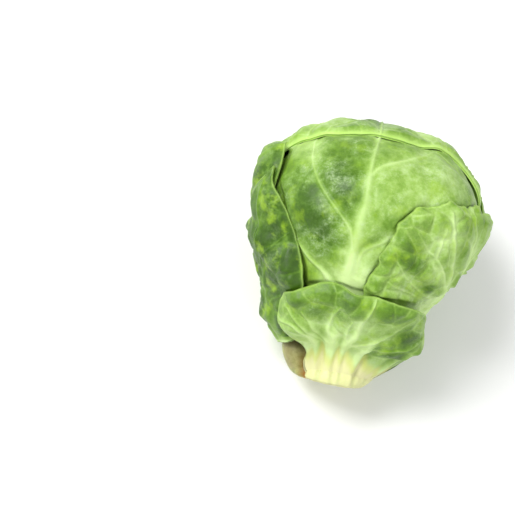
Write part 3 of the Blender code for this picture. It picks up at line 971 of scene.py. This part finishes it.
# Stem: the cut face from its middle out, and the core from the leaves' roots in to its tip
CUT_OUTLINE = ((0, 0.12), (1.6, 0.10), (3.2, 0.02), (4.5, 0.0), (5.2, 0.1), (5.62, 0.38))
CORE_OUTLINE = ((6.6, 8.5), (4.0, 10.6), (1.6, 12.6), (0, 13.3))
SIDE_LATITUDES = (-90, -65)
STEM_TURNS = 288
CUT_ROWS = 60
SIDE_ROWS = 80
CORE_ROWS = 24
CUT_RING = 0.6
CUT_RING_SPAN = (-88.5, -83)
SIDE_SINK = 0.7
SIDE_SINK_SPAN = (-84, -72)
STEM_SKIRT = 0.75
RIBBED_RIM = (4.4, 5.7)
UNEVEN_CUT = (5.7, 4.9)
BROWN_RIM = 5.3
WOOD_RADIUS = 2.9

# Scar of a leaf that was cut off beside the stem, turned about the axis in degrees
SCAR_CENTRE = (-5.2, -0.6, 2.7)
SCAR_RADII = (2.4, 2.6, 3.5)
SCAR_LEAN = 0.45
SCAR_TURN = 187.0
SCAR_SIDES = (46, 28)
ROSE_TURN = 14.0
ROSE_WIDTH = 9.0
CLEFT_TURN = 34.0
CLEFT_WIDTH = 8.0
CLEFT_DEPTH = 0.9
CLEFT_TOP = (6.5, 4.5)


def scar_reach(angle, height):
    """Distance from the axis to the far side of the scar's ball, along the ray at an angle and a height.

    With the ray p = r (cos a, sin a) in a ball of radii R about C, it is the greater root of
    |p/R|^2 - 2 p.C/R^2 + |C/R|^2 = 1 - ((z - Cz) / Rz)^2, and 0 where the ray misses the ball. C
    leans outwards with height.
    """
    ray_x, ray_y = np.cos(angle), np.sin(angle)
    level = np.clip(1 - ((height - SCAR_CENTRE[2]) / SCAR_RADII[2]) ** 2, 0, 1)
    centre_x = SCAR_CENTRE[0] - SCAR_LEAN * (height - SCAR_CENTRE[2])
    square = (ray_x / SCAR_RADII[0]) ** 2 + (ray_y / SCAR_RADII[1]) ** 2
    along = ray_x * centre_x / SCAR_RADII[0] ** 2 + ray_y * SCAR_CENTRE[1] / SCAR_RADII[1] ** 2
    fixed = (centre_x / SCAR_RADII[0]) ** 2 + (SCAR_CENTRE[1] / SCAR_RADII[1]) ** 2 - level
    inside = along * along - square * fixed
    return np.where((inside > 0) & (level > 0), (along + np.sqrt(np.clip(inside, 0, None))) / square, 0)


def stem_line():
    """Latitude, radius and height along the stem's outline: cut face, side up to the leaves, core.

    The side follows the head's profile, with a ring that stands out at the cut, and sinks in under
    the leaves further up.
    """
    cut = curve_through(CUT_OUTLINE, CUT_ROWS)
    latitude = np.linspace(*SIDE_LATITUDES, SIDE_ROWS)
    out, up = head_profile(latitude)
    out = out + CUT_RING - CUT_RING * ramp(latitude, *CUT_RING_SPAN)
    out = out - SIDE_SINK * ramp(latitude, *SIDE_SINK_SPAN)
    core = curve_through(CORE_OUTLINE, CORE_ROWS)
    radius = np.concatenate([cut[:, 0], out, core[:, 0]])
    height = np.concatenate([cut[:, 1], up, core[:, 1]])
    return np.pad(latitude, (CUT_ROWS, CORE_ROWS), mode='edge'), radius, height


def make_stem():
    """Stem: a turned outline whose side has ribs, a round leaf scar with a cleft, and an uneven cut.

    Each point is (r cos a, r sin a, z). r is the outline's radius plus the ribs, and on the right
    plus a skirt that fills up the haunch's root. By the scar it is the farther of that and the
    scar's ball, less the cleft's bell. The attributes are where each colour of the finish shows.
    """
    turn = np.linspace(0, 2 * np.pi, STEM_TURNS, endpoint=False)
    rows = np.arange(CUT_ROWS + SIDE_ROWS + CORE_ROWS)
    angle, row = np.meshgrid(turn, rows, indexing='ij')
    latitude, radius, height = (values[row] for values in stem_line())
    side = (row >= CUT_ROWS) & (row < CUT_ROWS + SIDE_ROWS)
    near_edge = ramp(radius, *RIBBED_RIM) * (row < CUT_ROWS) + side
    ribs = foot_ribs(latitude, angle) * near_edge
    skirt = STEM_SKIRT * haunch(latitude, angle) * ramp(np.cos(angle), -0.1, 0.5) * side
    radius = radius + ribs + skirt
    bulge = np.clip(scar_reach(angle, height) - radius, 0, None) * near_edge
    away = turn_from(SCAR_TURN, np.degrees(angle))
    cleft = bell((away - CLEFT_TURN) / CLEFT_WIDTH) * ramp(height, *CLEFT_TOP) * near_edge
    radius = radius + bulge - CLEFT_DEPTH * cleft
    x, y = radius * np.cos(angle), radius * np.sin(angle)
    cut = (row < CUT_ROWS) * ramp(radius, *UNEVEN_CUT)
    height = height + cut * (0.06 * ripple(x, y, 3.0, 7) + 0.05 * np.sin(2.2 * y + 0.6 * x))
    points = np.stack([x, y, height], -1)
    rim = bell((radius - BROWN_RIM) / 0.3) * (row < CUT_ROWS)
    beside = np.maximum(ramp(bulge, 0.02, 0.5), ramp(np.abs(away), *SCAR_SIDES)) * near_edge
    attributes = {
        'olive': 0.85 * beside,
        'rose': 0.6 * bell((away - ROSE_TURN) / ROSE_WIDTH) * beside * ramp(height, 0.3, 1.5),
        'brown': np.clip(1.2 * cleft + 0.15 * rim, 0, 1),
        'rib': np.clip(0.6 + 1.4 * ribs, 0, 1),
        'wood': 0.7 * cut * bell((radius - WOOD_RADIUS) / 0.5),
        'green': ramp(latitude, -76, -66) * side,
    }
    index = np.arange(angle.size).reshape(angle.shape)
    following = np.roll(index, -1, 0)
    quads = np.stack([index[:, :-1], following[:, :-1], following[:, 1:], index[:, 1:]], -1).reshape(-1, 4)
    attributes = {name: values.ravel() for name, values in attributes.items()}
    piece = add_mesh('stem_flesh', lay_down(points.reshape(-1, 3)), quads[:, ::-1], attributes)
    close_poles(piece)
    return piece


def close_poles(piece):
    """Merge the points that meet at a turned piece's two ends, and turn its faces outwards."""
    work = bmesh.new()
    work.from_mesh(piece.data)
    bmesh.ops.remove_doubles(work, verts=work.verts, dist=1e-7)
    bmesh.ops.recalc_face_normals(work, faces=work.faces)
    work.to_mesh(piece.data)
    work.free()
    piece.data.shade_smooth()


# How much lime and how much bloom each finish has
FINISHES = {
    'inner_leaves': (0.2, 0.1),
    'pale_leaves': (0.3, 0.5),
    'outer_leaves': (0.45, 0.35),
    'dark_leaves': (0.55, 0.2),
}


def dress():
    """Make every fine piece, with its finish, and set it in its node's place."""
    finishes = {name: leaf_finish(name.replace('_', ' '), *look) for name, look in FINISHES.items()}
    for leaf in LEAVES:
        piece = make_leaf(leaf)
        piece.data.materials.append(finishes[leaf.finish])
        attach(piece, 'root')
        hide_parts(leaf.name)
    stem = make_stem()
    stem.data.materials.append(stem_finish())
    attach(stem, 'root')
    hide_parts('stem')
    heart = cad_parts['heart']
    heart.data.materials.clear()
    heart.data.materials.append(heart_finish())


def camera_axes():
    """Ways to the picture's right, to its top and back to the camera, in the world."""
    pitch, roll = radians(CAMERA_PITCH), radians(CAMERA_ROLL)
    turn = lying_turn()
    across = Vector((1, 0, 0))
    up = Vector((0, sin(pitch), cos(pitch)))
    back = Vector((0, -cos(pitch), sin(pitch)))
    right = across * cos(roll) + up * sin(roll)
    top = up * cos(roll) - across * sin(roll)
    return turn @ right, turn @ top, turn @ back


def head_centre():
    """The head's centre in the world."""
    return Vector(lay_down(np.array([[0.0, 0.0, HEAD_CENTRE]]))[0])


def add_camera():
    """Long lens on the head, then aimed aside so that the sprout stands where the photo has it."""
    right, top, back = camera_axes()
    roll = radians(CAMERA_ROLL)
    head_x = AXIS_PIXEL[0] + PICTURE_SCALE * HEAD_CENTRE * sin(roll)
    head_y = AXIS_PIXEL[1] - PICTURE_SCALE * HEAD_CENTRE * cos(roll)
    distance = PICTURE_SIZE / PICTURE_SCALE * MM * LENS / SENSOR
    centre = head_centre()
    place = centre + back * distance
    pixel = 1 / PICTURE_SCALE * MM
    aside, below = head_x - PICTURE_SIZE / 2, head_y - PICTURE_SIZE / 2
    target = centre - right * aside * pixel + top * below * pixel
    away = (place - target).normalized()
    side = top.cross(away).normalized()
    up = away.cross(side)
    data = bpy.data.cameras.new('camera')
    data.lens = LENS
    data.sensor_width = SENSOR
    data.clip_start = NEAREST_SEEN
    camera = bpy.data.objects.new('camera', data)
    camera.matrix_world = Matrix((side, up, away)).transposed().to_4x4()
    camera.location = place
    bpy.context.scene.collection.objects.link(camera)
    bpy.context.scene.camera = camera


def add_light(name, offset, size, power):
    """Square soft light at an offset (right, top, back) from the head, in metres, aimed at it."""
    right, top, back = camera_axes()
    centre = head_centre()
    place = centre + right * offset[0] + top * offset[1] + back * offset[2]
    data = bpy.data.lights.new(name, 'AREA')
    data.shape = 'SQUARE'
    data.size = size
    data.energy = power
    light = bpy.data.objects.new(name, data)
    light.rotation_euler = (centre - place).to_track_quat('-Z', 'Y').to_euler()
    light.location = place
    bpy.context.scene.collection.objects.link(light)


def add_studio():
    """White floor, even light from all round, a key light up on the left and a fill on the right."""
    corners = FLOOR_HALF * np.array([(-1, -1, 0), (1, -1, 0), (1, 1, 0), (-1, 1, 0)])
    floor = add_mesh('floor', corners, np.array([[0, 1, 2, 3]]), {})
    floor.data.materials.append(paper_finish())
    world = bpy.data.worlds.new('studio')
    world.use_nodes = True
    background = world.node_tree.nodes['Background']
    background.inputs['Color'].default_value = (1, 1, 1, 1)
    background.inputs['Strength'].default_value = ROUND_LIGHT
    bpy.context.scene.world = world
    for name, (offset, size, power) in LIGHTS.items():
        add_light(name, offset, size, power)
    bpy.context.scene.view_settings.view_transform = 'Standard'


dress()
add_studio()
add_camera()
